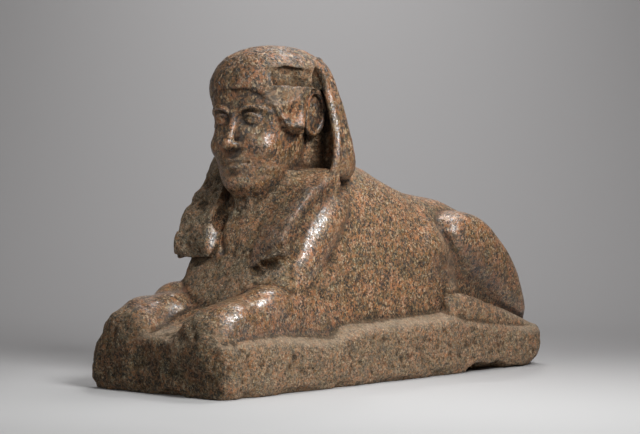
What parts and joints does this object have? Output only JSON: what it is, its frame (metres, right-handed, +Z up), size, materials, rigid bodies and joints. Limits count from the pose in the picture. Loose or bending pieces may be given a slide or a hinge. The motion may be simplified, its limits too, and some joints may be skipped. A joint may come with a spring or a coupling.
{
  "type": "sphinx statue",
  "caption": "Recumbent sphinx in an Egyptian head cloth, carved with its plinth from one block of red granite; stands by its own weight.",
  "frame": {"origin": "middle of the plinth's underside", "axes": "+Z up, the face looks along -Y, the sphinx's left flank is +X"},
  "size_m": [0.4168, 1.1289, 0.74],
  "materials": {
    "granite": "red granite: worn polish on the head, arms and flanks, pecked and broken on the plinth, breast and lappets"
  },
  "bodies": {
    "root": {"sphinx": "granite"}
  },
  "joints": []
}
